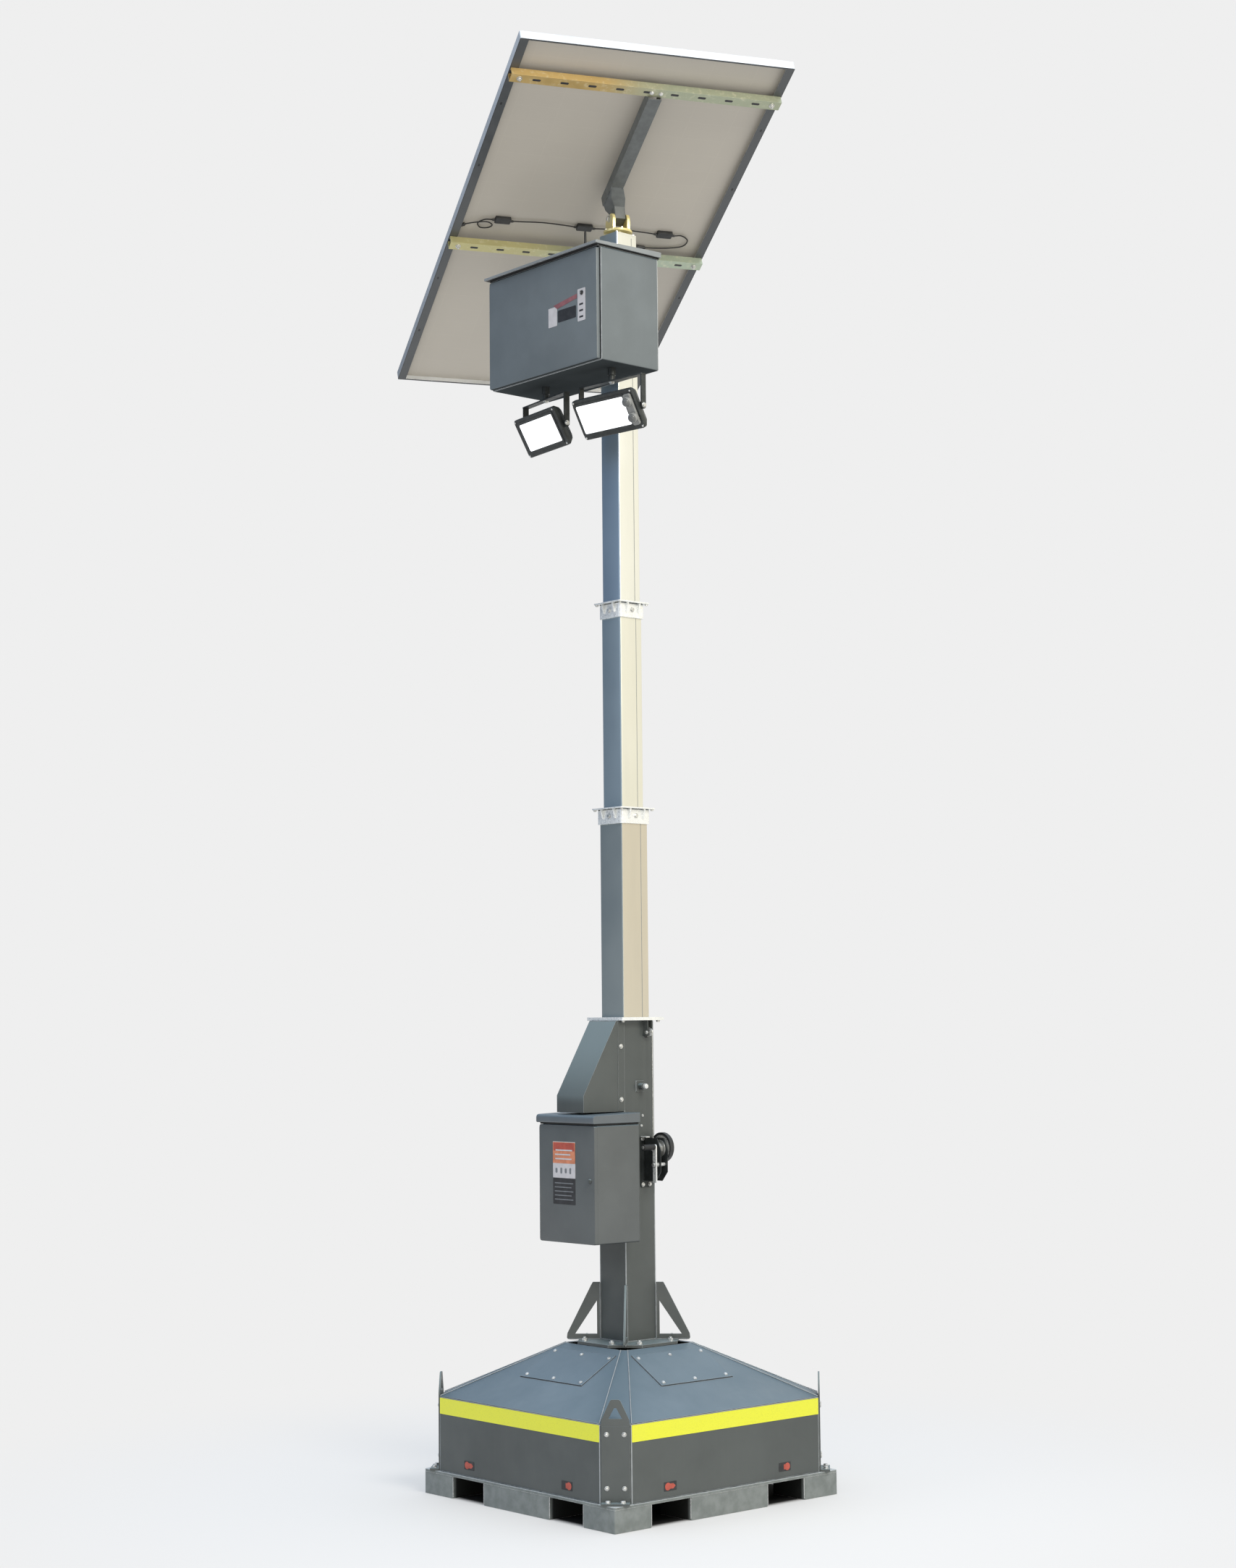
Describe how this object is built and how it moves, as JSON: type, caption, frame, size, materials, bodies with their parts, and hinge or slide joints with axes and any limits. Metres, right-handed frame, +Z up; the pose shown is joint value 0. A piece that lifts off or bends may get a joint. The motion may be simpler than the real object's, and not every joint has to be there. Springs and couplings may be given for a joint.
{
  "type": "solar lighting tower",
  "caption": "Fork-liftable ballast base with a winch-raised telescopic square mast, battery box, twin floodlights and a tilting solar panel.",
  "frame": {"origin": "bottom centre of the fork-lift base, on the ground", "axes": "+Z up along the mast; -Y is the side with the control cabinet and battery box; +X is the side with the winch"},
  "size_m": [2.1677, 1.7168, 5.3373],
  "materials": {
    "access_hatch_1": "satin powder coat",
    "access_hatch_2": "satin powder coat",
    "access_hatch_3": "satin powder coat",
    "access_hatch_4": "satin powder coat",
    "antenna": "matte",
    "ballast_block": "cast concrete",
    "ballast_body": "satin powder coat",
    "base_flange": "satin powder coat",
    "battery_1": "matte",
    "battery_2": "matte",
    "battery_box_door": "satin powder coat",
    "battery_box_latch": "matte",
    "battery_box_lid": "satin powder coat",
    "battery_box_shell": "satin powder coat",
    "box_bracket": "galvanised",
    "cabinet_door": "satin powder coat",
    "cabinet_latch": "matte",
    "cabinet_roof": "satin powder coat",
    "cabinet_shell": "satin powder coat",
    "cable_housing": "satin powder coat",
    "charge_controller": "black powder coat",
    "collar_1": "galvanised",
    "collar_2": "galvanised",
    "control_plate": "galvanised",
    "corner_plate_1": "satin powder coat",
    "corner_plate_2": "satin powder coat",
    "corner_plate_3": "satin powder coat",
    "corner_plate_4": "satin powder coat",
    "head_clevis": "yellow zinc plated",
    "junction_box_1": "matte",
    "junction_box_2": "matte",
    "junction_box_3": "matte",
    "light_housing_left": "black powder coat",
    "light_housing_right": "black powder coat",
    "light_lens_left": "frosted, lit",
    "light_lens_right": "frosted, lit",
    "light_yoke_left": "black powder coat",
    "light_yoke_right": "black powder coat",
    "lock_pin": "bright zinc plated",
    "lower_post": "satin powder coat",
    "mast_stage_1": "galvanised",
    "mast_stage_2": "galvanised",
    "mast_stage_3": "galvanised",
    "motion_sensor": "semi gloss",
    "pallet_frame": "galvanised",
    "panel_frame": "anodised",
    "panel_laminate": "white-grey back sheet",
    "post_top_flange": "galvanised",
    "pyramid_cover": "satin powder coat",
    "rail_lower": "yellow zinc plated",
    "rail_upper": "yellow zinc plated",
    "rope_pulley": "bright zinc plated",
    "switch_knob": "matte",
    "tilt_spine": "satin powder coat",
    "winch_crank": "bright zinc plated",
    "winch_drum": "bright zinc plated",
    "winch_frame": "galvanised",
    "winch_gear_cover": "matte",
    "winch_grip": "matte",
    "winch_rope": "wire rope"
  },
  "bodies": {
    "base": {"pallet_frame": "pallet_frame", "ballast_body": "ballast_body", "ballast_block": "ballast_block", "corner_plate_1": "corner_plate_1", "corner_plate_2": "corner_plate_2", "corner_plate_3": "corner_plate_3", "corner_plate_4": "corner_plate_4", "pyramid_cover": "pyramid_cover", "access_hatch_1": "access_hatch_1", "access_hatch_2": "access_hatch_2", "access_hatch_3": "access_hatch_3", "access_hatch_4": "access_hatch_4", "base_flange": "base_flange", "lower_post": "lower_post", "post_top_flange": "post_top_flange", "cable_housing": "cable_housing", "cabinet_shell": "cabinet_shell", "cabinet_roof": "cabinet_roof", "control_plate": "control_plate", "charge_controller": "charge_controller", "winch_frame": "winch_frame", "winch_gear_cover": "winch_gear_cover", "winch_rope": "winch_rope"},
    "cabinet_door": {"cabinet_door": "cabinet_door"},
    "cabinet_latch": {"cabinet_latch": "cabinet_latch"},
    "switch": {"switch_knob": "switch_knob"},
    "winch_drum": {"winch_drum": "winch_drum"},
    "winch_crank": {"winch_crank": "winch_crank"},
    "winch_grip": {"winch_grip": "winch_grip"},
    "rope_pulley": {"rope_pulley": "rope_pulley"},
    "lock_pin": {"lock_pin": "lock_pin"},
    "stage_1": {"mast_stage_1": "mast_stage_1", "collar_1": "collar_1"},
    "stage_2": {"mast_stage_2": "mast_stage_2", "collar_2": "collar_2"},
    "stage_3": {"mast_stage_3": "mast_stage_3", "box_bracket": "box_bracket", "battery_box_shell": "battery_box_shell", "battery_box_lid": "battery_box_lid", "battery_1": "battery_1", "battery_2": "battery_2", "antenna": "antenna"},
    "battery_box_door": {"battery_box_door": "battery_box_door"},
    "battery_box_latch": {"battery_box_latch": "battery_box_latch"},
    "yoke_left": {"light_yoke_left": "light_yoke_left"},
    "lamp_left": {"light_housing_left": "light_housing_left", "light_lens_left": "light_lens_left"},
    "yoke_right": {"light_yoke_right": "light_yoke_right"},
    "lamp_right": {"light_housing_right": "light_housing_right", "light_lens_right": "light_lens_right", "motion_sensor": "motion_sensor"},
    "swivel_head": {"head_clevis": "head_clevis"},
    "panel": {"tilt_spine": "tilt_spine", "rail_upper": "rail_upper", "rail_lower": "rail_lower", "panel_frame": "panel_frame", "panel_laminate": "panel_laminate", "junction_box_1": "junction_box_1", "junction_box_2": "junction_box_2", "junction_box_3": "junction_box_3"}
  },
  "joints": [
    {"name": "mast_stage_1_slide", "type": "slide", "parent": "base", "child": "stage_1", "axis": [0, 0, 1], "range_m": [-0.62, 0]},
    {"name": "mast_stage_2_slide", "type": "slide", "parent": "stage_1", "child": "stage_2", "axis": [0, 0, 1], "range_m": [-0.62, 0]},
    {"name": "mast_stage_3_slide", "type": "slide", "parent": "stage_2", "child": "stage_3", "axis": [0, 0, 1], "range_m": [-0.62, 0]},
    {"name": "winch_drum_spin", "type": "hinge", "parent": "base", "child": "winch_drum", "pos_m": [0.132, 0.036, 1.286], "axis": [0, 1, 0], "range_deg": [0, 1780]},
    {"name": "winch_crank_spin", "type": "hinge", "parent": "base", "child": "winch_crank", "pos_m": [0.155, 0.005, 1.2279], "axis": [0, 1, 0], "range_deg": [-7120, 0]},
    {"name": "winch_grip_spin", "type": "hinge", "parent": "winch_crank", "child": "winch_grip", "pos_m": [0.155, -0.026, 1.2939], "axis": [0, 1, 0], "continuous": true},
    {"name": "rope_pulley_spin", "type": "hinge", "parent": "base", "child": "rope_pulley", "pos_m": [0.0944, 0.036, 1.722], "axis": [0, 1, 0], "range_deg": [-2095, 0]},
    {"name": "lock_pin_slide", "type": "slide", "parent": "base", "child": "lock_pin", "axis": [1, 0, 0], "range_m": [0, 0.012], "stiffness_N_per_m": 400, "springref_m": -0.004},
    {"name": "cabinet_door_hinge", "type": "hinge", "parent": "base", "child": "cabinet_door", "pos_m": [-0.164, -0.299, 1.1685], "axis": [0, 0, -1], "range_deg": [0, 110]},
    {"name": "cabinet_latch_turn", "type": "hinge", "parent": "cabinet_door", "child": "cabinet_latch", "pos_m": [0.135, -0.297, 1.18], "axis": [0, -1, 0], "range_deg": [0, 90]},
    {"name": "switch_turn", "type": "hinge", "parent": "base", "child": "switch", "pos_m": [-0.02, -0.1426, 1.065], "axis": [0, -1, 0], "range_deg": [0, 90]},
    {"name": "battery_box_door_hinge", "type": "hinge", "parent": "stage_3", "child": "battery_box_door", "pos_m": [-0.331, -0.386, 4.43], "axis": [0, 0, -1], "range_deg": [0, 110]},
    {"name": "battery_box_latch_turn", "type": "hinge", "parent": "battery_box_door", "child": "battery_box_latch", "pos_m": [0.233, -0.384, 4.482], "axis": [0, -1, 0], "range_deg": [0, 90]},
    {"name": "light_pan_left", "type": "hinge", "parent": "stage_3", "child": "yoke_left", "pos_m": [-0.141, -0.255, 4.163], "axis": [0, 0, 1], "range_deg": [-60, 60]},
    {"name": "light_tilt_left", "type": "hinge", "parent": "yoke_left", "child": "lamp_left", "pos_m": [-0.141, -0.255, 4.043], "axis": [0.9903, -0.1392, 0], "range_deg": [-25, 30]},
    {"name": "light_pan_right", "type": "hinge", "parent": "stage_3", "child": "yoke_right", "pos_m": [0.25, -0.255, 4.163], "axis": [0, 0, 1], "range_deg": [-60, 60]},
    {"name": "light_tilt_right", "type": "hinge", "parent": "yoke_right", "child": "lamp_right", "pos_m": [0.25, -0.255, 4.043], "axis": [0.9954, 0.0958, 0], "range_deg": [-25, 30]},
    {"name": "panel_swivel", "type": "hinge", "parent": "stage_3", "child": "swivel_head", "pos_m": [0, 0, 4.8355], "axis": [0, 0, 1], "range_deg": [-170, 170]},
    {"name": "panel_tilt", "type": "hinge", "parent": "swivel_head", "child": "panel", "pos_m": [0, 0, 4.894], "axis": [-0.3827, -0.9239, 0], "range_deg": [-23, 8]}
  ],
  "couplings": [
    {"joint": "mast_stage_2_slide", "follows": "mast_stage_1_slide", "ratio": 1},
    {"joint": "mast_stage_3_slide", "follows": "mast_stage_1_slide", "ratio": 1},
    {"joint": "winch_drum_spin", "follows": "mast_stage_1_slide", "rad_per_m": -50},
    {"joint": "winch_crank_spin", "follows": "mast_stage_1_slide", "rad_per_m": 200},
    {"joint": "rope_pulley_spin", "follows": "mast_stage_1_slide", "rad_per_m": 58.824}
  ]
}
